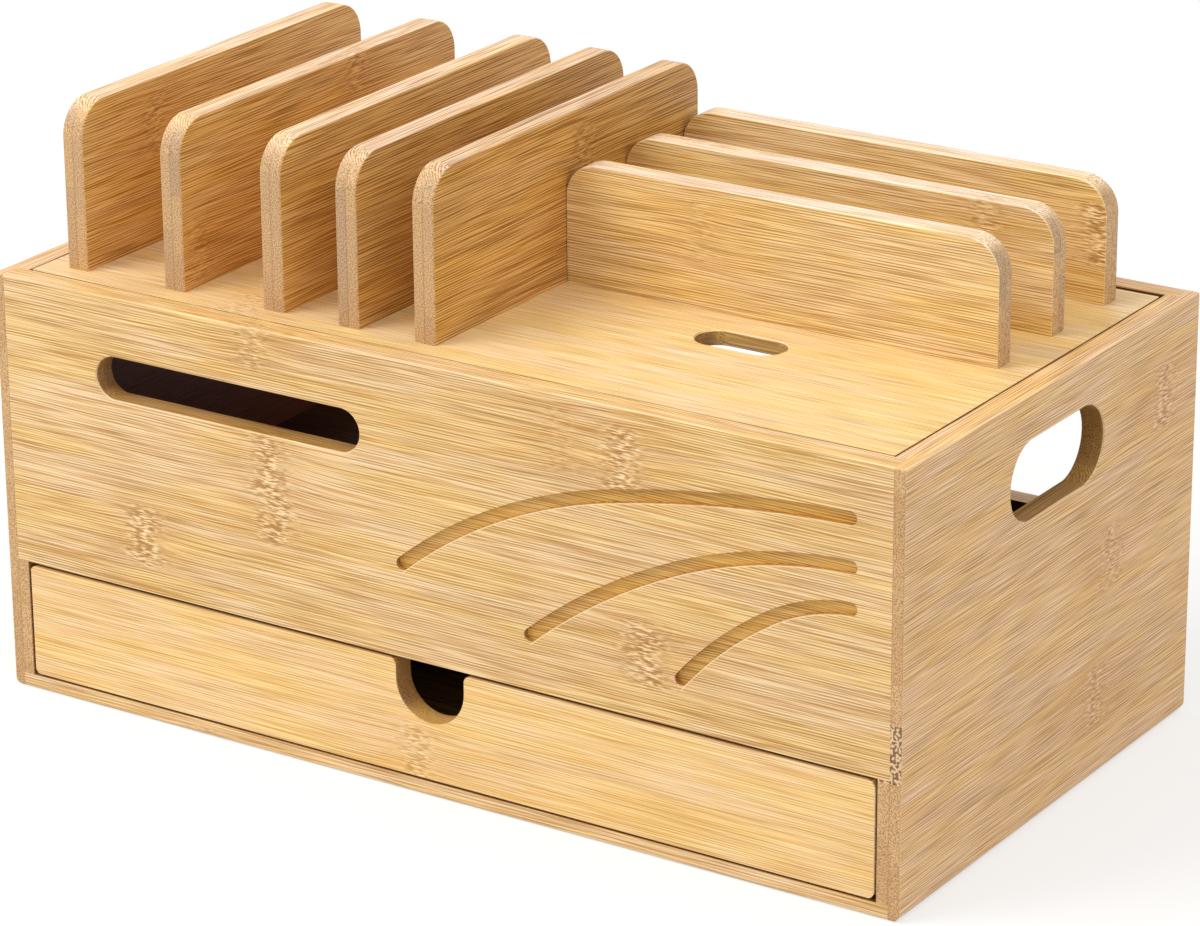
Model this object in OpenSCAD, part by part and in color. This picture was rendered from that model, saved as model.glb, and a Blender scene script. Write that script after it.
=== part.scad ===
// Bamboo charging station organizer: a rebated box with a drawer, a cable shelf above it,
// and a lift-off lid that carries five long dividers and three cross dividers.
// X runs along the width, the front looks toward -Y and Z is up.
// The origin is on the table, under the middle of the box.

/* [Box] */
// Width over both side panels
box_w = 340; // [320:1:380]
// Depth from the front panel to the back rail
box_d = 188; // [184:1:230]
// Height of the box without the dividers
box_h = 145; // [142:1:180]
// Thickness of the upright boards and the dividers
board_t = 8; // [7:0.5:9]
// Thickness of the base board, the shelf and the lid
thin_t = 5; // [4:0.5:6]
// Radius of the eased outer edges
ease_r = 0.6; // [0.4:0.1:1.2]
// Width of the broken edge round the slots and the hand holes
rim_w = 0.4; // [0.2:0.1:0.8]
// Radius of the lower side edges
foot_r = 3.5; // [1:0.5:4]
// Radius of the lower front edge
toe_r = 1.5; // [0.5:0.5:3]
// Radius of the lower back edge
heel_r = 4.5; // [2:0.5:6]
// Height of the lower back panel's top edge
back_panel_top = 64; // [58:1:90]
// Height of the back rail
back_rail_h = 24; // [15:1:30]

/* [Openings] */
// Height of the drawer opening above the base board
drawer_opening_h = 40.8; // [36:0.2:44]
// Width of the routed cable slots
cable_slot_w = 14.6; // [12:0.2:16]
// Length of the cable slot in the front panel
front_slot_len = 104; // [60:1:120]
// Middle of the front cable slot from the box's centre line
front_slot_x = -77; // [-85:1:-60]
// Height of the front cable slot's centre line
front_slot_z = 117.5; // [105:0.5:120]
// Length of the cable slot in the lid
lid_slot_len = 31.5; // [20:0.5:40]
// Middle of the lid's slot from the centre line
lid_slot_x = 71.5; // [40:0.5:100]
// Middle of the lid's slot behind the front face
lid_slot_back = 69.5; // [60:0.5:70]
// Length of the hand holes in the side panels
hand_hole_len = 60; // [50:1:90]
// Height of the hand holes
hand_hole_h = 26; // [20:1:28]
// Height of the hand holes' centre line
hand_hole_z = 117; // [110:0.5:117]

/* [Routed arcs] */
// Width of the three grooves in the front panel
groove_w = 4.5; // [3:0.5:6]
// Depth of the grooves
groove_depth = 2; // [1:0.5:3]

/* [Drawer] */
// Thickness of the drawer's sides and back
drawer_side_t = 6; // [5:0.5:7]
// Thickness of the drawer's bottom
drawer_bottom_t = 3; // [3:0.5:4]
// Width of the finger notch in the drawer's front
notch_w = 26; // [20:1:36]
// Depth of the finger notch below the front's top edge
notch_depth = 19.4; // [18:0.1:24]

/* [Dividers] */
// Height of the five long dividers above the lid
long_divider_h = 56; // [40:1:80]
// Length of the long dividers
long_divider_len = 153; // [148:0.5:156]
// Corner radius of the long dividers
long_corner_r = 12; // [6:1:18]
// Height of the three cross dividers above the lid
cross_divider_h = 40.5; // [30:0.5:60]
// Corner radius of the cross dividers
cross_corner_r = 11.5; // [5:0.5:14]
// Clear width of the two left bays
wide_gap = 31.5; // [24:0.5:32]
// Clear width of the two middle bays
narrow_gap = 21.2; // [16:0.2:22]
// Clear width of the bays between the cross dividers
cross_gap = 26.9; // [20:0.1:27]

/* [Hidden] */
$fn = 96;

// Colours of the bamboo as the faces show it
honey = [0.87, 0.70, 0.42];
amber = [0.80, 0.60, 0.34];
steel = [0.72, 0.72, 0.70];

// Box: the side panels' faces and the joints cut into them
half_w = box_w / 2;
half_d = box_d / 2;
inner_x = half_w - board_t;
rebate = board_t / 2;
joint_x = inner_x + rebate;
inner_y = half_d - board_t;
opening_top = thin_t + drawer_opening_h;
groove_in = 3;
cut = 1;

// Lid and the battens that carry it
lid_side_gap = 0.8;
lid_front_gap = 0.8;
lid_back_gap = 3;
seat_gap = 0.3;
batten_w = 8;
lid_x = inner_x - lid_side_gap;
lid_front = -inner_y + lid_front_gap;
lid_back = inner_y - lid_back_gap;
lid_bottom = box_h - thin_t;
batten_top = lid_bottom - seat_gap;

// Drawer: running gaps, then the outer faces
drawer_side_gap = 0.8;
drawer_floor_gap = 0.4;
drawer_top_gap = 1;
front_foot_gap = 0.7;
drawer_box_gap = 1.3;
drawer_back_gap = 2.5;
drawer_front_x = inner_x - drawer_side_gap;
drawer_box_x = inner_x - drawer_box_gap;
drawer_low = thin_t + drawer_floor_gap;
front_low = thin_t + front_foot_gap;
drawer_top = opening_top - drawer_top_gap;
drawer_side_top = drawer_top - 2.4;
drawer_back_y = inner_y - drawer_back_gap;
drawer_bottom_z = drawer_low + 2;
drawer_groove = 3;
front_corner_r = 3;
notch_lip_r = 2.5;

// Dividers: the left faces of the long ones, the front faces of the cross ones
long_front = -half_d + 16.6;
first_gap = 9.8;
long_left = [
    -inner_x + first_gap,
    -inner_x + first_gap + board_t + wide_gap,
    -inner_x + first_gap + 2 * (board_t + wide_gap),
    -inner_x + first_gap + 3 * board_t + 2 * wide_gap + narrow_gap,
    -inner_x + first_gap + 4 * board_t + 2 * wide_gap + 2 * narrow_gap
];
cross_left = long_left[4] + board_t;
cross_right = inner_x - 11.4;
cross_last_back = lid_back - 9.3;
cross_front = [for (i = [0:2]) cross_last_back - board_t - (2 - i) * (board_t + cross_gap)];

// Countersunk screws that hold the dividers from under the lid
screw_d = 3.5;
screw_head_d = 7;
screw_head_h = 2.2;
screw_len = 18;
screw_inset = 28;
long_screw_at = [
    for (x = long_left, y = [long_front + screw_inset, long_front + long_divider_len - screw_inset])
        [x + board_t / 2, y]
];
cross_screw_at = [
    for (y = cross_front, x = [cross_left + screw_inset, cross_right - screw_inset])
        [x, y + board_t / 2]
];
screw_at = concat(long_screw_at, cross_screw_at);

// Grooves: where each starts at its left end, its rising angle there,
// and two arcs in a row as radius and angle of turn
GROOVES = [
    [[-9.5, 77.6], 40.3, [180, 27.8], [444, 10.9]],
    [[38.3, 64.1], 40.6, [216, 16.5], [159, 22.8]],
    [[93.2, 62], 49.8, [132, 18], [60, 28]]
];

// A plate that fills x to x + t, from an outline drawn in Y and Z
module plate_yz(x, t) {
    translate([x, 0, 0])
        rotate([90, 0, 90])
            linear_extrude(t)
                children();
}

// A plate that fills y to y + t, from an outline drawn in X and Z
module plate_xz(y, t) {
    translate([0, y + t, 0])
        rotate([90, 0, 0])
            linear_extrude(t)
                children();
}

// A plate that fills z to z + t, from an outline drawn in X and Y
module plate_xy(z, t) {
    translate([0, 0, z])
        linear_extrude(t)
            children();
}

// A block given by its two far corners
module block(low, high) {
    translate(low)
        cube(high - low);
}

// A flat rectangle between two corners with all corners round
module round_rect(low, high, r) {
    translate(low + [r, 0])
        square([high[0] - low[0] - 2 * r, high[1] - low[1]]);
    translate(low + [0, r])
        square([high[0] - low[0], high[1] - low[1] - 2 * r]);
    for (x = [low[0] + r, high[0] - r], y = [low[1] + r, high[1] - r])
        translate([x, y])
            circle(r);
}

// A slot with round ends that lies along the first axis
module slot(centre, len, w) {
    translate(centre) {
        square([len - w, w], center = true);
        for (side = [-1, 1])
            translate([side * (len - w) / 2, 0])
                circle(w / 2);
    }
}

// The broken edge of a slot, as a solid that flares toward +Z and ends on the plane z = 0
module slot_rim(len, w) {
    r = w / 2;
    flare = rim_w + cut;
    translate([0, 0, -rim_w]) {
        for (side = [-1, 1])
            translate([side * (len - w) / 2, 0, 0])
                cylinder(h = flare, r1 = r, r2 = r + flare);
        translate([-(len - w) / 2, 0, 0])
            rotate([90, 0, 90])
                linear_extrude(len - w)
                    polygon([[-r, 0], [r, 0], [r + flare, flare], [-r - flare, flare]]);
    }
}

// Quarter of a square outside a rounded corner, drawn toward +X and +Y
module corner_waste(r) {
    difference() {
        square(r + cut);
        circle(r);
    }
}

// The box seen from its side, with the eased top and the rounded lower edges
module box_profile() {
    difference() {
        translate([-half_d, 0])
            square([box_d, box_h]);
        translate([half_d - ease_r, box_h - ease_r])
            corner_waste(ease_r);
        translate([-half_d + ease_r, box_h - ease_r])
            mirror([1, 0])
                corner_waste(ease_r);
        translate([half_d - heel_r, heel_r])
            mirror([0, 1])
                corner_waste(heel_r);
        translate([-half_d + toe_r, toe_r])
            rotate(180)
                corner_waste(toe_r);
    }
}

// The box seen from the front: eased above, rounder below
module front_profile() {
    difference() {
        round_rect([-half_w, 0], [half_w, box_h], ease_r);
        for (side = [0, 1])
            mirror([side, 0])
                translate([half_w - foot_r, foot_r])
                    mirror([0, 1])
                        corner_waste(foot_r);
    }
}

// The whole box as one solid: every board is cut out of it, so that outer edges run through
module box_envelope() {
    intersection() {
        plate_yz(-half_w, box_w)
            box_profile();
        plate_xz(-half_d, box_d)
            front_profile();
        plate_xy(0, box_h)
            round_rect([-half_w, -half_d], [half_w, half_d], ease_r);
    }
}

// Right side panel with its rebates, the shelf's groove and the hand hole
module side_panel() {
    difference() {
        intersection() {
            box_envelope();
            block([inner_x, -half_d, 0], [half_w, half_d, box_h]);
        }
        // front panel
        block([inner_x - cut, -half_d - cut, opening_top], [joint_x, -inner_y, box_h + cut]);
        // base board
        block([inner_x - cut, -half_d - cut, -cut], [joint_x, half_d + cut, thin_t]);
        // lower back panel
        block([inner_x - cut, inner_y, thin_t - cut], [joint_x, half_d + cut, back_panel_top]);
        // back rail
        block([inner_x - cut, inner_y, box_h - back_rail_h], [joint_x, half_d + cut, box_h + cut]);
        // shelf
        block([inner_x - cut, -inner_y - cut, opening_top],
              [inner_x + groove_in, inner_y, opening_top + thin_t]);
        plate_yz(inner_x - cut, board_t + 2 * cut)
            slot([0, hand_hole_z], hand_hole_len, hand_hole_h);
        translate([half_w, 0, hand_hole_z])
            rotate([90, 0, 90])
                slot_rim(hand_hole_len, hand_hole_h);
        translate([inner_x, 0, hand_hole_z])
            rotate([90, 0, -90])
                slot_rim(hand_hole_len, hand_hole_h);
    }
}

module left_side_panel() {
    color(honey)
        mirror([1, 0, 0])
            side_panel();
}

module right_side_panel() {
    color(honey)
        side_panel();
}

// Middle of an arc that starts at p, heads at angle h and turns right
function arc_centre(p, h, r) = p + r * [sin(h), -cos(h)];

// Point of such an arc where it heads at angle h
function arc_point(c, h, r) = c + r * [-sin(h), cos(h)];

// One arc of a groove, between two headings
module arc_band(c, r, h_start, h_end) {
    reach = 1.5 * r;
    translate(c)
        intersection() {
            difference() {
                circle(r + groove_w / 2, $fn = 360);
                circle(r - groove_w / 2, $fn = 360);
            }
            polygon([[0, 0], arc_point([0, 0], h_start, reach), arc_point([0, 0], h_end, reach)]);
        }
}

// A groove of two arcs in a row with round ends
module groove(start, heading, first, second) {
    c1 = arc_centre(start, heading, first[0]);
    turn = heading - first[1];
    middle = arc_point(c1, turn, first[0]);
    c2 = arc_centre(middle, turn, second[0]);
    end_heading = turn - second[1];
    arc_band(c1, first[0], heading, turn);
    arc_band(c2, second[0], turn, end_heading);
    for (p = [start, middle, arc_point(c2, end_heading, second[0])])
        translate(p)
            circle(groove_w / 2);
}

module front_panel() {
    color(honey)
        difference() {
            intersection() {
                box_envelope();
                block([-joint_x, -half_d, opening_top], [joint_x, -inner_y, box_h]);
            }
            plate_xz(-half_d - cut, board_t + 2 * cut)
                slot([front_slot_x, front_slot_z], front_slot_len, cable_slot_w);
            translate([front_slot_x, -half_d, front_slot_z])
                rotate([90, 0, 0])
                    slot_rim(front_slot_len, cable_slot_w);
            for (g = GROOVES)
                plate_xz(-half_d - cut, groove_depth + cut)
                    groove(g[0], g[1], g[2], g[3]);
        }
}

module base_board() {
    color(honey)
        intersection() {
            box_envelope();
            block([-joint_x, -half_d, 0], [joint_x, half_d, thin_t]);
        }
}

module shelf_board() {
    shelf_x = inner_x + groove_in;
    color(amber)
        block([-shelf_x, -inner_y, opening_top], [shelf_x, inner_y, opening_top + thin_t]);
}

module lower_back_panel() {
    color(honey)
        intersection() {
            box_envelope();
            block([-joint_x, inner_y, thin_t], [joint_x, half_d, back_panel_top]);
        }
}

module back_rail() {
    color(honey)
        intersection() {
            box_envelope();
            block([-joint_x, inner_y, box_h - back_rail_h], [joint_x, half_d, box_h]);
        }
}

module right_lid_batten() {
    color(amber)
        block([inner_x - batten_w, -inner_y, batten_top - batten_w], [inner_x, inner_y, batten_top]);
}

module left_lid_batten() {
    mirror([1, 0, 0])
        right_lid_batten();
}

module front_lid_batten() {
    side = inner_x - batten_w;
    color(amber)
        block([-side, -inner_y, batten_top - batten_w], [side, -inner_y + batten_w, batten_top]);
}

// The finger notch: a round bottom, straight sides and rounded lips at the top edge
module notch_outline() {
    r = notch_w / 2;
    round_z = drawer_top - notch_depth + r;
    translate([0, round_z])
        circle(r);
    translate([-r, round_z])
        square([notch_w, drawer_top - round_z + cut]);
    difference() {
        translate([-r - notch_lip_r, drawer_top - notch_lip_r])
            square([notch_w + 2 * notch_lip_r, notch_lip_r + cut]);
        for (side = [-1, 1])
            translate([side * (r + notch_lip_r), drawer_top - notch_lip_r])
                circle(notch_lip_r);
    }
}

// The drawer's bottom board, which also gives the groove in the boards round it
module drawer_bottom_board() {
    x = drawer_box_x - drawer_side_t + drawer_groove;
    block([-x, -inner_y - drawer_groove, drawer_bottom_z],
          [x, drawer_back_y - drawer_side_t + drawer_groove, drawer_bottom_z + drawer_bottom_t]);
}

// Section through the drawer's front: the face lies on the first axis with eased corners
module front_section(half) {
    translate([-half, ease_r])
        square([2 * half, board_t - ease_r]);
    translate([-half + ease_r, 0])
        square([2 * (half - ease_r), board_t]);
    for (side = [-1, 1])
        translate([side * (half - ease_r), ease_r])
            circle(ease_r);
}

module drawer_front() {
    height = drawer_top - front_low;
    color(honey)
        difference() {
            intersection() {
                plate_xz(-half_d, board_t)
                    difference() {
                        round_rect([-drawer_front_x, front_low], [drawer_front_x, drawer_top],
                                   front_corner_r);
                        notch_outline();
                    }
                translate([0, -half_d, front_low])
                    linear_extrude(height)
                        front_section(drawer_front_x);
                translate([drawer_front_x, -half_d, front_low + height / 2])
                    rotate([0, -90, 0])
                        linear_extrude(2 * drawer_front_x)
                            front_section(height / 2);
            }
            drawer_bottom_board();
        }
}

module drawer_right_side() {
    color(amber)
        difference() {
            block([drawer_box_x - drawer_side_t, -inner_y, drawer_low],
                  [drawer_box_x, drawer_back_y, drawer_side_top]);
            drawer_bottom_board();
        }
}

module drawer_left_side() {
    mirror([1, 0, 0])
        drawer_right_side();
}

module drawer_back() {
    x = drawer_box_x - drawer_side_t;
    color(amber)
        difference() {
            block([-x, drawer_back_y - drawer_side_t, drawer_low], [x, drawer_back_y, drawer_side_top]);
            drawer_bottom_board();
        }
}

module drawer_bottom() {
    color(amber)
        drawer_bottom_board();
}

// One screw, head down, with its head's face at the lid's underside
module screw() {
    cylinder(h = screw_head_h, d1 = screw_head_d, d2 = screw_d);
    cylinder(h = screw_len, d = screw_d);
}

module all_screws() {
    for (at = screw_at)
        translate([at[0], at[1], lid_bottom])
            screw();
}

module lid_board() {
    color(honey)
        difference() {
            plate_xy(lid_bottom, thin_t)
                difference() {
                    round_rect([-lid_x, lid_front], [lid_x, lid_back], ease_r);
                    slot([lid_slot_x, -half_d + lid_slot_back], lid_slot_len, cable_slot_w);
                }
            translate([lid_slot_x, -half_d + lid_slot_back, box_h])
                slot_rim(lid_slot_len, cable_slot_w);
            all_screws();
        }
}

// Section across a divider's rim: it reaches out along X and has two eased corners there
module rim_section(reach) {
    half_t = board_t / 2;
    translate([0, -half_t])
        square([reach - ease_r, board_t]);
    translate([0, -half_t + ease_r])
        square([reach, board_t - 2 * ease_r]);
    for (side = [-1, 1])
        translate([reach - ease_r, side * (half_t - ease_r)])
            circle(ease_r, $fn = 32);
}

// A divider that stands on z = 0 from the origin along X: square foot, two round upper
// corners, and the rim eased all the way up, over and down
module divider(len, h, r) {
    for (end = [0, 1])
        translate([end * len, 0, 0])
            mirror([end, 0, 0])
                translate([r, 0, 0])
                    mirror([1, 0, 0]) {
                        linear_extrude(h - r)
                            rim_section(r);
                        translate([0, 0, h - r])
                            rotate([90, 0, 0])
                                rotate_extrude(angle = 90)
                                    rim_section(r);
                    }
    translate([len - r, 0, h - r])
        rotate([0, -90, 0])
            linear_extrude(len - 2 * r)
                rim_section(r);
    block([r, -board_t / 2, 0], [len - r, board_t / 2, h - r]);
}

module long_divider(i) {
    color(amber)
        difference() {
            translate([long_left[i] + board_t / 2, long_front, box_h])
                rotate([0, 0, 90])
                    divider(long_divider_len, long_divider_h, long_corner_r);
            all_screws();
        }
}

module cross_divider(i) {
    color(amber)
        difference() {
            translate([cross_left, cross_front[i] + board_t / 2, box_h])
                divider(cross_right - cross_left, cross_divider_h, cross_corner_r);
            all_screws();
        }
}

module divider_screws() {
    color(steel)
        all_screws();
}

left_side_panel();
right_side_panel();
front_panel();
base_board();
shelf_board();
lower_back_panel();
back_rail();
left_lid_batten();
right_lid_batten();
front_lid_batten();
drawer_front();
drawer_left_side();
drawer_right_side();
drawer_back();
drawer_bottom();
lid_board();
long_divider(0);  // long_divider_1
long_divider(1);  // long_divider_2
long_divider(2);  // long_divider_3
long_divider(3);  // long_divider_4
long_divider(4);  // long_divider_5
cross_divider(0);  // cross_divider_1
cross_divider(1);  // cross_divider_2
cross_divider(2);  // cross_divider_3
divider_screws();
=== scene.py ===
import math
import bpy
from mathutils import Matrix, Vector


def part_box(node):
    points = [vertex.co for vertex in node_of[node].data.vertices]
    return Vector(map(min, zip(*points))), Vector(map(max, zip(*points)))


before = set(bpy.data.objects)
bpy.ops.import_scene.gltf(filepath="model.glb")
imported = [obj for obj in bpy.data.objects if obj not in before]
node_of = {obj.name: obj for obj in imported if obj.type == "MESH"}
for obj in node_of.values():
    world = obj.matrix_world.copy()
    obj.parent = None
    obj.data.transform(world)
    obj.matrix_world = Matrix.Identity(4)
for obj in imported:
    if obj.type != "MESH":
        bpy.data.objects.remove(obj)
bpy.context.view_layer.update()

scene = bpy.context.scene


# Camera
# A long lens from the front right, a little above the lid, as in the photograph.
# The lens length is for a sensor 36 mm wide.

azimuth = math.radians(33.347)
elevation = math.radians(20.772)
roll = math.radians(-0.471)
camera_at = (0.8036, -1.2170, 0.6360)

camera_data = bpy.data.cameras.new("camera")
camera_data.lens = 143.68
camera_data.sensor_width = 36.0
camera_data.clip_start = 0.1
camera_data.clip_end = 20.0
camera = bpy.data.objects.new("camera", camera_data)
camera.matrix_world = (Matrix.Translation(camera_at)
                       @ Matrix.Rotation(azimuth, 4, "Z")
                       @ Matrix.Rotation(math.pi / 2 - elevation, 4, "X")
                       @ Matrix.Rotation(roll, 4, "Z"))
scene.collection.objects.link(camera)
scene.camera = camera


# Studio
# A white sky that is brightest overhead and weaker behind, one broad lamp from the front
# left, and a wide floor that the camera sees nearly white with a soft shadow.

class Recipe:
    """A node tree, with short names for the sums that a light or a finish is made of."""

    def __init__(self, tree):
        self.tree = tree

    def add(self, kind, inputs=(), **settings):
        """Add a node; an input given as a socket is linked, and any other is set."""
        made = self.tree.nodes.new(kind)
        for key, value in settings.items():
            setattr(made, key, value)
        for slot, value in dict(inputs).items():
            if isinstance(value, bpy.types.NodeSocket):
                self.tree.links.new(value, made.inputs[slot])
            else:
                made.inputs[slot].default_value = value
        return made

    def maths(self, operation, first, second=0.0, third=0.0):
        """One sum of up to three numbers."""
        return self.add("ShaderNodeMath", {0: first, 1: second, 2: third},
                        operation=operation).outputs[0]

    def seen_directly(self):
        """1 where the backdrop is seen straight, in a reflection or through glass, else 0."""
        path = self.add("ShaderNodeLightPath").outputs
        seen = self.maths("MAXIMUM", path["Is Camera Ray"], path["Is Glossy Ray"])
        return self.maths("MAXIMUM", seen, path["Is Transmission Ray"])


scene.view_settings.view_transform = "Standard"

world = bpy.data.worlds.new("studio")
world.use_nodes = True
world_tree = world.node_tree
sky = Recipe(world_tree)
sky_ray = sky.add("ShaderNodeTexCoord").outputs["Generated"]
sky_towards = sky.add("ShaderNodeSeparateXYZ", {0: sky_ray}).outputs


def fade(towards, reach, first, last):
    """The sky's strength along one direction, evenly from first at 0 to last at reach."""
    return sky.add("ShaderNodeMapRange", {"Value": towards, "From Max": reach,
                                          "To Min": first, "To Max": last}).outputs[0]


overhead = fade(sky_towards["Z"], 1.0, 0.34, 1.10)
behind = fade(sky_towards["Y"], 0.8, 1.0, 0.58)
rightward = fade(sky_towards["X"], 0.8, 1.0, 1.7)
sky_strength = sky.maths("MULTIPLY", sky.maths("MULTIPLY", overhead, behind), rightward)
sky_light = world_tree.nodes["Background"]
sky_light.inputs["Color"].default_value = (1.0, 0.985, 0.96, 1.0)
world_tree.links.new(sky_strength, sky_light.inputs["Strength"])
sky_white = sky.add("ShaderNodeBackground", {"Color": (1.0, 1.0, 1.0, 1.0), "Strength": 1.0})
sky_mix = sky.add("ShaderNodeMixShader", {0: sky.seen_directly(), 1: sky_light.outputs[0],
                                          2: sky_white.outputs[0]})
world_tree.links.new(sky_mix.outputs[0], world_tree.nodes["World Output"].inputs["Surface"])
scene.world = world

lamp_data = bpy.data.lights.new("softbox", "AREA")
lamp_data.shape = "DISK"
lamp_data.size = 1.3
lamp_data.energy = 24.5
lamp = bpy.data.objects.new("softbox", lamp_data)
lamp_at = Vector((-0.95, -1.10, 1.70))
lamp_aim = Vector((0, 0, 0.1))
lamp.matrix_world = (Matrix.Translation(lamp_at)
                     @ (lamp_at - lamp_aim).to_track_quat("Z", "Y").to_matrix().to_4x4())
scene.collection.objects.link(lamp)

floor_half = 4.0
floor_mesh = bpy.data.meshes.new("floor")
floor_mesh.from_pydata([(-floor_half, -floor_half, 0), (floor_half, -floor_half, 0),
                        (floor_half, floor_half, 0), (-floor_half, floor_half, 0)],
                       [], [(0, 1, 2, 3)])
floor = bpy.data.objects.new("floor", floor_mesh)
scene.collection.objects.link(floor)

# the floor lights the boards as a grey one would, but is seen nearly white
floor_paint = bpy.data.materials.new("floor_paint")
floor_paint.use_nodes = True
floor_tree = floor_paint.node_tree
floor_tree.nodes.remove(floor_tree.nodes["Principled BSDF"])
paint = Recipe(floor_tree)
floor_matt = paint.add("ShaderNodeBsdfDiffuse", {"Color": (0.66, 0.66, 0.66, 1.0)})
floor_seen = paint.add("ShaderNodeBsdfDiffuse", {"Color": (0.95, 0.95, 0.95, 1.0)})
floor_glow = paint.add("ShaderNodeEmission", {"Strength": 1.0})
floor_lift = paint.add("ShaderNodeMixShader", {0: 0.6, 1: floor_seen.outputs[0],
                                               2: floor_glow.outputs[0]})
floor_mix = paint.add("ShaderNodeMixShader", {0: paint.seen_directly(),
                                              1: floor_matt.outputs[0],
                                              2: floor_lift.outputs[0]})
floor_tree.links.new(floor_mix.outputs[0],
                     floor_tree.nodes["Material Output"].inputs["Surface"])
floor_mesh.materials.append(floor_paint)


# Side panels
# Two upright boards of pressed bamboo, 20 mm strips glued side by side in two plies.
# Grain runs from front to back; the sawn front ends show, and each has an oval hand hole.

X, Y, Z = 0, 1, 2
strip = 0.020            # width of a glued strip
strips_aside = 40.0      # strips are counted from far outside, so that no number is negative
ply_strip_shift = 0.43   # the second ply's strips lie this share of a strip further across
ply_along_shift = 0.11   # and its fibres this far along the grain
start_spread = 2.0       # stretch of grain from which each strip is cut
bundle_pitch = 0.00086   # from one fibre bundle to the next
bundle_slant = 0.8       # how far bundles shift sideways per metre through the board
bundle_drift = 12.0      # radians by which their even pitch may be off
plain_sway = 0.0003      # how far fibres sway on a plain stretch
knot_sway = 0.0050       # and how much more at a knot
chips_along = 0.0065     # reach of a knot's chips along the grain
chips_ragged = 0.016     # how unevenly the chips end
bent_along = 0.022       # reach of the fibres bent round a knot
tone_weights = dict(bundles=0.56, lines=2.2, streaks=0.55, patches=0.12, strip=0.14)


def opaque(colour, by=(1.0, 1.0, 1.0)):
    """A colour with alpha 1, each channel multiplied by its factor."""
    return (by[0] * colour[0], by[1] * colour[1], by[2] * colour[2], 1.0)


class BoardFinish(Recipe):
    """The finish of one board: its colour, its place and the way that it faces."""

    def __init__(self, material):
        super().__init__(material.node_tree)
        self.shader = material.node_tree.nodes["Principled BSDF"]
        coordinates = self.add("ShaderNodeTexCoord").outputs
        self.place = coordinates["Object"]
        self.at = self.add("ShaderNodeSeparateXYZ", {0: self.place}).outputs
        self.facing = self.add("ShaderNodeSeparateXYZ", {0: coordinates["Normal"]}).outputs

    def ease(self, value, low, high, most=1.0):
        """0 at low and most at high, with a smooth step between them."""
        eased = self.add("ShaderNodeMapRange", {"Value": value, "From Min": low, "From Max": high},
                         interpolation_type="SMOOTHSTEP").outputs["Result"]
        return eased if most == 1.0 else self.maths("MULTIPLY", eased, most)

    def bell(self, value, width):
        """e to the power of minus the square of value over width."""
        scaled = self.maths("DIVIDE", value, width)
        squared = self.maths("MULTIPLY", scaled, scaled)
        return self.maths("EXPONENT", self.maths("MULTIPLY", squared, -1.0))

    def centred(self, value, weight):
        """The value less a half, times weight."""
        return self.maths("MULTIPLY", self.maths("SUBTRACT", value, 0.5), weight)

    def mix(self, share, first, second, blend="MIX"):
        """The first colour, with the second blended in by share."""
        return self.add("ShaderNodeMix", {"Factor": share, 6: first, 7: second},
                        data_type="RGBA", blend_type=blend).outputs[2]

    def tint(self, colour, by, share=1.0):
        """The colour multiplied by another one, by share."""
        return self.mix(share, colour, by, "MULTIPLY")

    def ramp(self, value, *stops):
        """A colour picked by value between three stops of (position, colour)."""
        first, middle, last = stops
        made = self.add("ShaderNodeValToRGB", {0: value})
        elements = made.color_ramp.elements
        elements[0].position, elements[0].color = first
        elements[1].position, elements[1].color = last
        elements.new(middle[0]).color = middle[1]
        return made.outputs[0]

    def colour(self):
        """The colour that the shader has so far."""
        return self.shader.inputs["Base Color"].links[0].from_socket

    def give(self, name, value):
        """Link a value to one of the shader's inputs."""
        self.tree.links.new(value, self.shader.inputs[name])

    def within(self, lowest, highest):
        """1 inside the box from lowest to highest, else 0."""
        product = 1.0
        for axis in (X, Y, Z):
            above = self.maths("GREATER_THAN", self.at[axis], lowest[axis])
            below = self.maths("LESS_THAN", self.at[axis], highest[axis])
            product = self.maths("MULTIPLY", self.maths("MULTIPLY", product, above), below)
        return product


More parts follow.
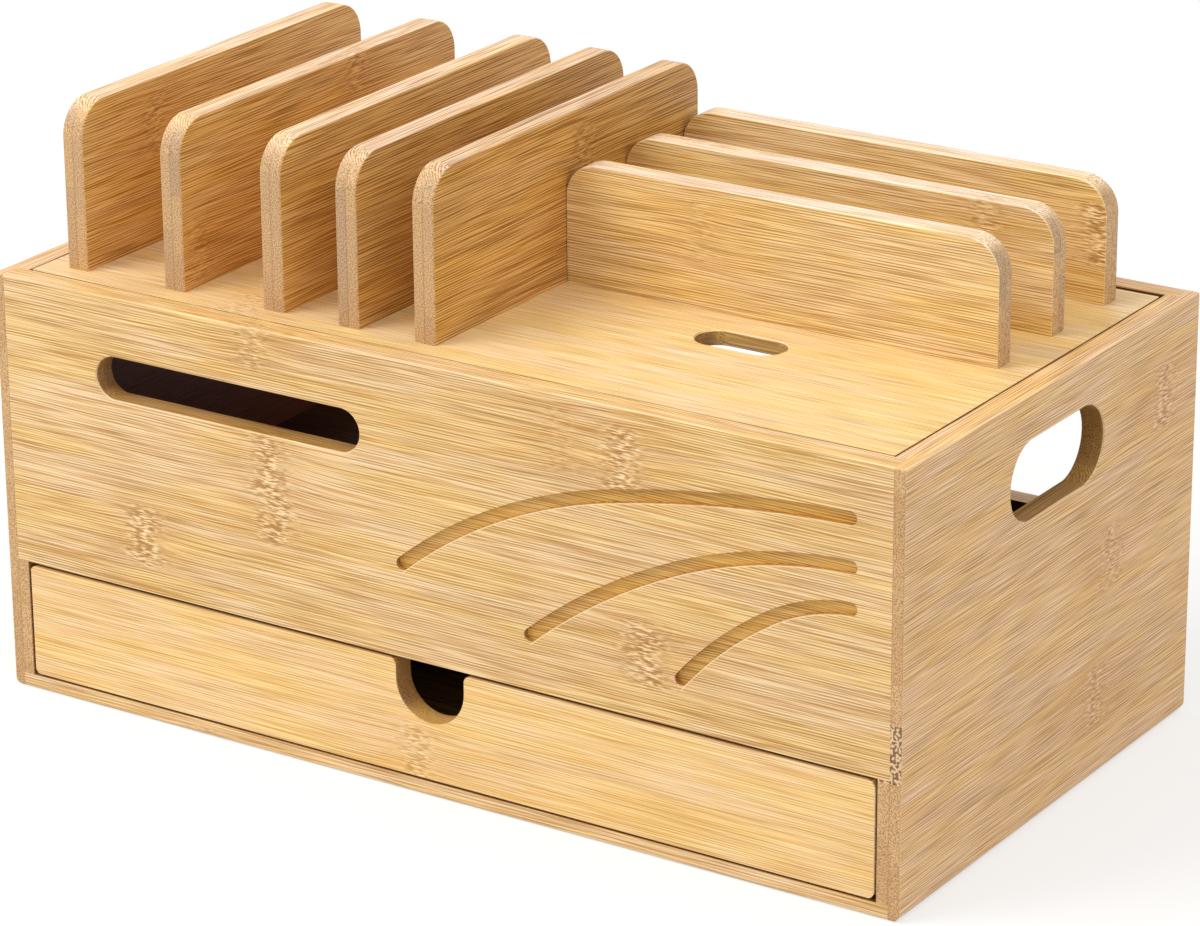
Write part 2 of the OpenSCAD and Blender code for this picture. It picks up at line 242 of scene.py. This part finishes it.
class Bamboo(BoardFinish):
    """Pressed bamboo: grain along one axis and glued strips side by side along another.

    The third axis goes through the two plies. Each strip of each ply has a random tone, a
    random tint of its sawn end, and fibres from a random stretch of grain.
    """

    def __init__(self, material, board, grain, across, seed):
        super().__init__(material)
        ply_axis = 3 - grain - across
        self.across = self.at[across]
        self.through = self.at[ply_axis]
        self.faces_grain = self.maths("ABSOLUTE", self.facing[grain])
        self.faces_across = self.maths("ABSOLUTE", self.facing[across])
        self.faces_through = self.maths("ABSOLUTE", self.facing[ply_axis])
        low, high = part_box(board)
        self.glue_at = 0.5 * (low[ply_axis] + high[ply_axis])
        ply = self.maths("GREATER_THAN", self.through, self.glue_at)
        self.along = self.maths("ADD", self.at[grain],
                                self.maths("MULTIPLY", ply, ply_along_shift))

        strip_at = self.maths("DIVIDE", self.across, strip)
        strip_at = self.maths("ADD", strip_at, self.maths("MULTIPLY", ply, ply_strip_shift))
        strip_at = self.maths("ADD", strip_at, strips_aside + seed)
        self.in_strip = self.maths("FRACT", strip_at)
        strip_number = self.maths("FLOOR", strip_at)
        strip_key = self.add("ShaderNodeCombineXYZ", {0: strip_number, 1: ply, 2: seed}).outputs[0]
        chance = self.add("ShaderNodeTexWhiteNoise", {"Vector": strip_key},
                          noise_dimensions="3D").outputs["Color"]
        start, self.strip_tone, self.strip_tint = self.add(
            "ShaderNodeSeparateColor", {0: chance}).outputs
        self.strip_along = self.maths("ADD", self.along,
                                      self.maths("MULTIPLY", start, start_spread))

    def noise(self, along, per_along, per_across, detail=0.0, across=None):
        """Noise with so many changes in a metre along the grain and across it."""
        placed = self.add("ShaderNodeCombineXYZ", {
            0: self.maths("MULTIPLY", along, per_along),
            1: self.maths("MULTIPLY", self.across if across is None else across, per_across),
            2: self.maths("MULTIPLY", self.through, per_across)}).outputs[0]
        return self.add("ShaderNodeTexNoise", {"Vector": placed, "Scale": 1.0, "Detail": detail,
                                               "Roughness": 0.5}).outputs[0]

    def dots(self, per_metre, detail=0.0, rough=0.5):
        """Noise that is alike in all directions, for sawn ends."""
        return self.add("ShaderNodeTexNoise", {"Vector": self.place, "Scale": per_metre,
                                               "Detail": detail, "Roughness": rough}).outputs[0]

    def find_knots(self, knots):
        """How strongly a knot's chips show here, and how near its bent fibres are.

        Each knot is a bell along the grain times a smooth step at the strip's two sides.
        """
        chipped = 0.0
        near = 0.0
        ragged = self.centred(self.noise(self.along, 200.0, 420.0, 1.0), chips_ragged)
        for knot_along, knot_across, strength in knots:
            off = self.maths("SUBTRACT", self.along, knot_along)
            side = self.maths("ABSOLUTE", self.maths("SUBTRACT", self.across, knot_across))
            band = self.maths("MULTIPLY", self.bell(self.maths("ADD", off, ragged), chips_along),
                              self.ease(side, 0.62 * strip, 0.42 * strip))
            chipped = self.maths("MAXIMUM", chipped, self.maths("MULTIPLY", band, strength))
            around = self.maths("MULTIPLY", self.bell(off, bent_along),
                                self.ease(side, 1.0 * strip, 0.35 * strip))
            near = self.maths("MAXIMUM", near, around)
        return chipped, near

    def bend(self, near):
        """The place across the grain as the fibres have it: they sway, and more at a knot."""
        sway = self.maths("ADD", plain_sway, self.maths("MULTIPLY", near, knot_sway))
        wander = self.centred(self.noise(self.along, 16.0, 70.0, 1.0), sway)
        return self.maths("ADD", self.across, wander)

    def bundles(self, bent):
        """Fibre bundles: a sine of even pitch that drifts and fades in and out."""
        drift = self.maths("MULTIPLY", self.noise(self.strip_along, 20.0, 130.0, 1.0, bent),
                           bundle_drift)
        aslant = self.maths("ADD", bent, self.maths("MULTIPLY", self.through, bundle_slant))
        turns = self.maths("MULTIPLY", aslant, 2 * math.pi / bundle_pitch)
        showing = self.ease(self.noise(self.strip_along, 50.0, 900.0, 0.0, bent), 0.25, 0.62)
        wave = self.maths("SINE", self.maths("ADD", turns, drift))
        return self.maths("MULTIPLY", wave, showing)

    def sawn_end(self, brown, coarse, end_cast):
        """Dotted fibre ends with the glue line, tinted from strip to strip.

        A strip's tint lies between a dull one, which end_cast multiplies, and a warm one.
        From coarse[0] to coarse[1] across the board the dots are large and dark.
        """
        colour = self.mix(self.ease(self.dots(2300.0, 1.0, 0.6), 0.36, 0.60),
                          (0.34, 0.20, 0.10, 1.0), (0.70, 0.47, 0.26, 1.0))
        dull = opaque((0.86, 0.85, 0.92), end_cast)
        warm = (1.14, 1.08, 0.94, 1.0)
        colour = self.tint(colour, self.mix(self.strip_tint, dull, warm))
        off_glue = self.maths("ABSOLUTE", self.maths("SUBTRACT", self.through, self.glue_at))
        colour = self.mix(self.ease(off_glue, 0.0004, 0.0001, 0.3), colour, brown)
        if coarse:
            pores = self.mix(self.ease(self.dots(1000.0), 0.44, 0.54),
                             (0.19, 0.10, 0.05, 1.0), (0.80, 0.55, 0.31, 1.0))
            here = self.maths("MULTIPLY", self.maths("GREATER_THAN", self.across, coarse[0]),
                              self.maths("LESS_THAN", self.across, coarse[1]))
            colour = self.mix(here, colour, pores)
        return colour


def bamboo(board, grain, across, tones, knots=(), seed=0.0, contrast=1.0, edge_highlight=0.0,
           coarse=None, end_cast=(1.0, 1.0, 1.0)):
    """Make a board's bamboo: grain and across are axis numbers, the third is the ply.

    tone = a half + contrast x (bundles + lines + streaks + patches + the strip's own), each
    by its weight, and it picks a colour between the board's deep, body and cream. A knot
    (along, across, strength) is a ragged band of cream and brown chips about one strip
    wide, with the fibres bent round it.
    """
    material = bpy.data.materials.new(board)
    material.use_nodes = True
    wood = Bamboo(material, board, grain, across, seed)
    chipped, near = wood.find_knots(knots)
    bent = wood.bend(near)
    lines = wood.noise(wood.strip_along, 40.0, 3600.0, 0.0, bent)
    streaks = wood.noise(wood.strip_along, 24.0, 1300.0, 0.0, bent)
    patches = wood.noise(wood.strip_along, 18.0, 100.0, 2.0, bent)
    hairs = wood.noise(wood.strip_along, 40.0, 3000.0, 0.0, bent)
    glints = wood.noise(wood.maths("ADD", wood.strip_along, 7.3), 32.0, 3400.0, 0.0, bent)

    tone = wood.maths("ADD", 0.5, wood.maths("MULTIPLY", wood.bundles(bent),
                                             tone_weights["bundles"] * contrast))
    for name, part in (("lines", lines), ("streaks", streaks), ("patches", patches),
                       ("strip", wood.strip_tone)):
        tone = wood.maths("ADD", tone, wood.centred(part, tone_weights[name] * contrast))
    cream, body, deep = opaque(tones["cream"]), opaque(tones["body"]), opaque(tones["deep"])
    brown = opaque(deep, (0.50, 0.42, 0.35))
    colour = wood.ramp(tone, (0.08, deep), (0.50, body), (0.92, cream))

    # pinkish and golden areas, pale fibres, brown fibres, and the line between two strips
    colour = wood.tint(colour, wood.mix(wood.ease(patches, 0.36, 0.64),
                                        (0.99, 0.93, 0.92, 1.0), (1.0, 0.91, 0.66, 1.0)))
    colour = wood.mix(wood.ease(glints, 0.57, 0.67, 0.42), colour, cream)
    colour = wood.mix(wood.ease(hairs, 0.58, 0.68, 0.22 * contrast), colour, brown)
    off_middle = wood.maths("ABSOLUTE", wood.maths("SUBTRACT", wood.in_strip, 0.5))
    colour = wood.mix(wood.ease(off_middle, 0.485, 0.5, 0.25), colour, brown)

    # a knot's browner surroundings, and its chips
    chips = wood.ramp(wood.noise(wood.along, 300.0, 1800.0, 1.0),
                      (0.43, opaque(deep, (0.78, 0.62, 0.50))),
                      (0.51, opaque(body, (0.94, 0.82, 0.66))), (0.62, cream))
    browner = wood.tint(colour, (0.92, 0.79, 0.62, 1.0))
    colour = wood.mix(wood.maths("MULTIPLY", near, 0.45), colour, browner)
    colour = wood.mix(wood.maths("MULTIPLY", chipped, 0.90), colour, chips)

    # eased edges are painted paler, a painted highlight where they catch the light
    eased = wood.maths("MULTIPLY", wood.ease(wood.faces_through, 0.10, 0.30),
                       wood.ease(wood.faces_through, 0.99, 0.90))
    colour = wood.mix(wood.maths("MULTIPLY", eased, 0.35), colour, cream)

    # the long narrow edges of a divider, its top among them, are painted paler than its faces,
    # a painted highlight of the light from above
    if edge_highlight:
        paler = wood.tint(colour, (1.18, 1.38, 2.60, 1.0))
        colour = wood.mix(wood.ease(wood.faces_across, 0.45, 0.85, edge_highlight), colour, paler)

    end_on = wood.ease(wood.faces_grain, 0.50, 0.85, 0.92)
    wood.give("Base Color", wood.mix(end_on, colour, wood.sawn_end(brown, coarse, end_cast)))
    gloss = wood.add("ShaderNodeMapRange", {"Value": lines, "To Min": 0.52, "To Max": 0.38})
    wood.give("Roughness", gloss.outputs[0])
    wood.shader.inputs["Specular IOR Level"].default_value = 0.35
    relief = wood.add("ShaderNodeBump", {"Strength": 0.2, "Distance": 0.0002, "Height": tone})
    wood.give("Normal", relief.outputs[0])
    return material


def stain_and_shade(material, box, tint, flat_axis=None):
    """Multiply the colour by a tint inside a box of two corners, for stains and painted shade.

    Given a flat_axis, only the walls of a cut take it: surfaces whose normal has less
    than half its length along that axis.
    """
    finish = BoardFinish(material)
    tint_mask = finish.within(*box)
    if flat_axis is not None:
        level = finish.maths("ABSOLUTE", finish.facing[flat_axis])
        tint_mask = finish.maths("MULTIPLY", tint_mask, finish.maths("LESS_THAN", level, 0.5))
    finish.give("Base Color", finish.tint(finish.colour(), opaque(tint), tint_mask))


def dress(board, material):
    """Give a CAD board its one material."""
    node_of[board].data.materials.clear()
    node_of[board].data.materials.append(material)


# The walls of the upper room and of the drawer's bay are toned dark: painted shade for the
# unlit inside. Each box is a skin larger than its room, and the lip keeps the painted shade
# off the front face.
inner_x = 0.162
inner_y = 0.086
skin = 0.0002
lip = 0.0004
front_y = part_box("front_panel")[0][Y]
room = ((-inner_x - skin, -inner_y - skin, 0.0505), (inner_x + skin, inner_y + skin, 0.1446))
room_shade = (0.24, 0.10, 0.09)
bay = ((-inner_x - skin, front_y + lip, 0.0052), (inner_x + skin, inner_y + skin, 0.0458))
bay_shade = (0.46, 0.37, 0.29)

# a box that is open on a side ends a metre away there, far outside the board
hand_hole = ((-1, -0.040, 0.100), (1, 0.040, 0.134))
# the hand hole's walls are browner from the cut and darker with painted shade
hand_hole_cut_and_shade = (0.70, 0.60, 0.38)
sand = dict(cream=(0.96, 0.71, 0.45), body=(0.81, 0.52, 0.25), deep=(0.50, 0.29, 0.12))
for board, seed, knots, coarse in [
        ("left_side_panel", 3.1,
         [(-0.03, 0.10, 0.8), (0.05, 0.045, 0.8), (-0.06, 0.02, 0.8)], None),
        ("right_side_panel", 7.7,
         [(0.1815, 0.117, 0.9), (0.1468, 0.074, 0.7), (0.1395, 0.029, 0.7)], (0.045, 0.064))]:
    panel = bamboo(board, Y, Z, sand, knots, seed, coarse=coarse, end_cast=(1.16, 1.06, 0.78))
    stain_and_shade(panel, hand_hole, hand_hole_cut_and_shade, X)
    stain_and_shade(panel, room, room_shade)
    stain_and_shade(panel, bay, bay_shade)
    dress(board, panel)


# Front panel
# One honey-coloured board across the front with the grain from side to side. The cable
# slot and the three arcs are cut by a router, so their walls and floors are browner; the
# walls also carry painted shade, and the lower rim of each arc a painted highlight.

honey = dict(cream=(0.96, 0.76, 0.46), body=(0.78, 0.50, 0.22), deep=(0.52, 0.31, 0.11))
# the walls of the routed cuts are browner from the router and darker with painted shade
routed = ((-0.16, front_y + lip, 0.0), (0.16, 0, 0.1300))
routed_cut_and_shade = (0.68, 0.56, 0.38)
groove_half = 0.00225
groove_floor = front_y + 0.0020
floor_slack = 0.0005
groove_floors = ((-0.1, groove_floor - floor_slack, 0.05),
                 (0.16, groove_floor + floor_slack, 0.130))
groove_floor_tint = (0.97, 0.87, 0.50)
# width and strength of the painted highlight on the lower rim of each routed arc
rim_highlight_width = 0.00035
rim_highlight_share = 0.75
panel = bamboo("front_panel", X, Z, honey,
               [(-0.066, 0.142, 0.6), (-0.061, 0.100, 1.0), (-0.0585, 0.084, 1.0),
                (-0.1125, 0.065, 1.0), (0.0725, 0.1285, 1.0), (0.0803, 0.067, 1.0),
                (0.0502, 0.1306, 0.3)], 11.3)
stain_and_shade(panel, routed, routed_cut_and_shade, Y)
stain_and_shade(panel, groove_floors, groove_floor_tint)


def paint_rim_highlights(material, arcs, pale):
    """Paint a highlight on the lower edge of each routed arc, where its sharp rim catches the
    light.

    The line is rim_highlight_width wide and ends at radius - groove_half from the arc's middle. It
    lies above the middle, between the arc's two ends, on the board's front face.
    """
    finish = BoardFinish(material)
    flat = finish.add("ShaderNodeCombineXYZ", {0: finish.at[X], 2: finish.at[Z]}).outputs[0]
    rim_highlight = 0.0
    for middle, radius, x_from, x_to in arcs:
        reach = finish.add("ShaderNodeVectorMath", {0: flat, 1: (middle[0], 0, middle[1])},
                           operation="DISTANCE").outputs["Value"]
        line = finish.maths("COMPARE", reach, radius - groove_half - 0.5 * rim_highlight_width,
                            0.5 * rim_highlight_width)
        for operation, axis, limit in (("GREATER_THAN", X, x_from), ("LESS_THAN", X, x_to),
                                       ("GREATER_THAN", Z, middle[1])):
            test = finish.maths(operation, finish.at[axis], limit)
            line = finish.maths("MULTIPLY", line, test)
        rim_highlight = finish.maths("MAXIMUM", rim_highlight, line)
    outward = finish.maths("LESS_THAN", finish.facing[Y], -0.9)
    on_face = finish.maths("LESS_THAN", finish.at[Y], front_y + skin)
    rim_highlight = finish.maths("MULTIPLY", finish.maths("MULTIPLY", rim_highlight, outward), on_face)
    rim_highlight = finish.maths("MULTIPLY", rim_highlight, rim_highlight_share)
    finish.give("Base Color", finish.mix(rim_highlight, finish.colour(), opaque(pale)))


# each groove: its left end, the angle at which it rises there, then two arcs in a row as
# radius and angle of turn, in millimetres and degrees
mm = 0.001
arcs = []
for start, heading, first, second in [((-9.5, 77.6), 40.3, (180, 27.8), (444, 10.9)),
                                      ((38.3, 64.1), 40.6, (216, 16.5), (159, 22.8)),
                                      ((93.2, 62.0), 49.8, (132, 18.0), (60, 28.0))]:
    for radius, turn in (first, second):
        angle = math.radians(heading)
        middle = (start[0] + radius * math.sin(angle), start[1] - radius * math.cos(angle))
        heading -= turn
        angle = math.radians(heading)
        end = (middle[0] - radius * math.sin(angle), middle[1] + radius * math.cos(angle))
        arcs.append(((mm * middle[0], mm * middle[1]), mm * radius, mm * start[0], mm * end[0]))
        start = end
paint_rim_highlights(panel, arcs, honey["cream"])
stain_and_shade(panel, room, room_shade)
dress("front_panel", panel)


# Base, lower back panel and back rail
# A thin base, let into the sides, whose front edge shows under the drawer, and two
# thicker boards across the back with the wide cable opening between them.

base = bamboo("base_board", X, Y, honey, [(-0.09, -0.09, 0.5)], 2.9, 0.8)
# the base behind the drawer's front carries the bay's painted shade
stain_and_shade(base, ((-1, front_y + lip, 0.0048), (1, 1, 1)), bay_shade)
dress("base_board", base)
for board, knots, seed in [("lower_back_panel", [(0.05, 0.03, 0.8)], 5.3),
                           ("back_rail", [(-0.03, 0.13, 0.8)], 6.1)]:
    back = bamboo(board, X, Z, sand, knots, seed)
    stain_and_shade(back, room, room_shade)
    dress(board, back)


# Shelf and lid battens
# The shelf for chargers, let into the side panels, and the strips that the lid rests on.
# They show only as darkness in the slots: this dark, dull bamboo is painted shade.

painted_shade_umber = dict(cream=(0.10, 0.045, 0.025), body=(0.060, 0.024, 0.014), deep=(0.030, 0.011, 0.007))
for board, grain, across, seed in [
        ("shelf_board", X, Y, 1.7), ("left_lid_batten", Y, Z, 8.2),
        ("right_lid_batten", Y, Z, 9.4), ("front_lid_batten", X, Z, 4.6)]:
    raw = bamboo(board, grain, across, painted_shade_umber, (), seed)
    raw.node_tree.nodes["Principled BSDF"].inputs["Specular IOR Level"].default_value = 0.02
    dress(board, raw)


# Drawer
# A pale honey front with a U-shaped finger notch, on a box of thin amber boards. The
# front's top edge lies in the gap under the front panel and carries the bay's painted shade.

amber = dict(cream=(0.88, 0.58, 0.27), body=(0.66, 0.36, 0.12), deep=(0.38, 0.17, 0.04))
pine = dict(cream=(1.0, 0.82, 0.50), body=(0.91, 0.61, 0.28), deep=(0.66, 0.41, 0.15))
notch = ((-0.03, front_y + lip, 0), (0.03, 0, 0.0446))
notch_cut_and_shade = (0.80, 0.68, 0.46)
top_edge = ((-1, -1, 0.04445), (1, 0, 1))
front = bamboo("drawer_front", X, Z, pine, [(-0.006, 0.013, 0.7)], 15.9, 0.62)
# the walls of the finger notch are browner from the cut and darker with painted shade
stain_and_shade(front, notch, notch_cut_and_shade, Y)
# the top edge takes the bay's painted shade
stain_and_shade(front, top_edge, bay_shade)
dress("drawer_front", front)
for board, grain, across, seed in [
        ("drawer_left_side", Y, Z, 12.2), ("drawer_right_side", Y, Z, 13.8),
        ("drawer_back", X, Z, 14.4), ("drawer_bottom", X, Y, 16.6)]:
    dress(board, bamboo(board, grain, across, amber, (), seed))


# Lid
# The loose board that carries the dividers, with a small cable slot. Its underside and its
# right edge carry painted shade, for the unlit inside and the shadowed gap beside it.

wheat = dict(cream=(0.99, 0.84, 0.55), body=(0.86, 0.615, 0.31), deep=(0.60, 0.40, 0.16))
underside = ((-1, -1, 0), (1, 1, 0.1402))
lid_slot = ((0.04, -0.04, 0.1404), (0.11, -0.01, 0.1446))
lid_slot_cut_and_shade = (0.80, 0.68, 0.46)
right_edge = ((0.161, -1, 0.1402), (1, 1, 0.1447))
right_edge_shade = (0.34, 0.27, 0.22)
lid = bamboo("lid_board", X, Y, wheat, [(0.0293, -0.076, 0.6), (0.08, 0.05, 0.5)], 21.4, 0.75)
# the walls of the cable slot are browner from the cut and darker with painted shade
stain_and_shade(lid, lid_slot, lid_slot_cut_and_shade, Z)
stain_and_shade(lid, underside, room_shade)
stain_and_shade(lid, right_edge, right_edge_shade, Z)
dress("lid_board", lid)


# Long dividers
# Five upright boards for phones and tablets, amber with strong dark fibres, the front and
# back top corners rounded. The two at the right take a darker copy of the amber, painted
# shade for their shadowed sides.

dusk = dict(cream=(0.88, 0.59, 0.24), body=(0.71, 0.41, 0.12), deep=(0.40, 0.19, 0.04))
painted_shade_amber = dict(cream=(0.78, 0.50, 0.19), body=(0.60, 0.33, 0.09), deep=(0.33, 0.15, 0.03))
for number, tones, knots in [(1, dusk, [(0.071, 0.185, 0.6)]),
                             (2, dusk, [(0.0415, 0.157, 0.4), (0.1275, 0.199, 0.6)]),
                             (3, dusk, [(0.12, 0.16, 0.3)]),
                             (4, painted_shade_amber, [(0.09, 0.18, 0.3)]),
                             (5, painted_shade_amber, [(0.117, 0.185, 0.6)])]:
    board = "long_divider_%d" % number
    dress(board, bamboo(board, Y, Z, tones, knots, 20.0 + 3.37 * number, 1.15, edge_highlight=1.0))


# Cross dividers
# Three lower boards across the right of the lid, of the same make in a paler honey.

pale = dict(cream=(0.98, 0.79, 0.46), body=(0.81, 0.57, 0.25), deep=(0.53, 0.32, 0.11))
for number, knots in [(1, [(0.0437, 0.171, 0.25)]), (2, [(0.126, 0.184, 0.6)]),
                      (3, [(0.148, 0.168, 1.0)])]:
    board = "cross_divider_%d" % number
    dress(board, bamboo(board, X, Z, pale, knots, 50.0 + 2.71 * number, 1.1, edge_highlight=0.47))


# Divider screws
# Countersunk zinc-plated screws up through the lid, two under each divider.

zinc = bpy.data.materials.new("zinc")
zinc.use_nodes = True
zinc_shader = zinc.node_tree.nodes["Principled BSDF"]
zinc_shader.inputs["Base Color"].default_value = (0.62, 0.62, 0.60, 1.0)
zinc_shader.inputs["Metallic"].default_value = 1.0
plating = Recipe(zinc.node_tree)
zinc_noise = plating.add("ShaderNodeTexNoise", {"Scale": 900.0}).outputs[0]
zinc_gloss = plating.add("ShaderNodeMapRange", {"Value": zinc_noise, "To Min": 0.28,
                                                "To Max": 0.48})
zinc.node_tree.links.new(zinc_gloss.outputs[0], zinc_shader.inputs["Roughness"])
dress("divider_screws", zinc)
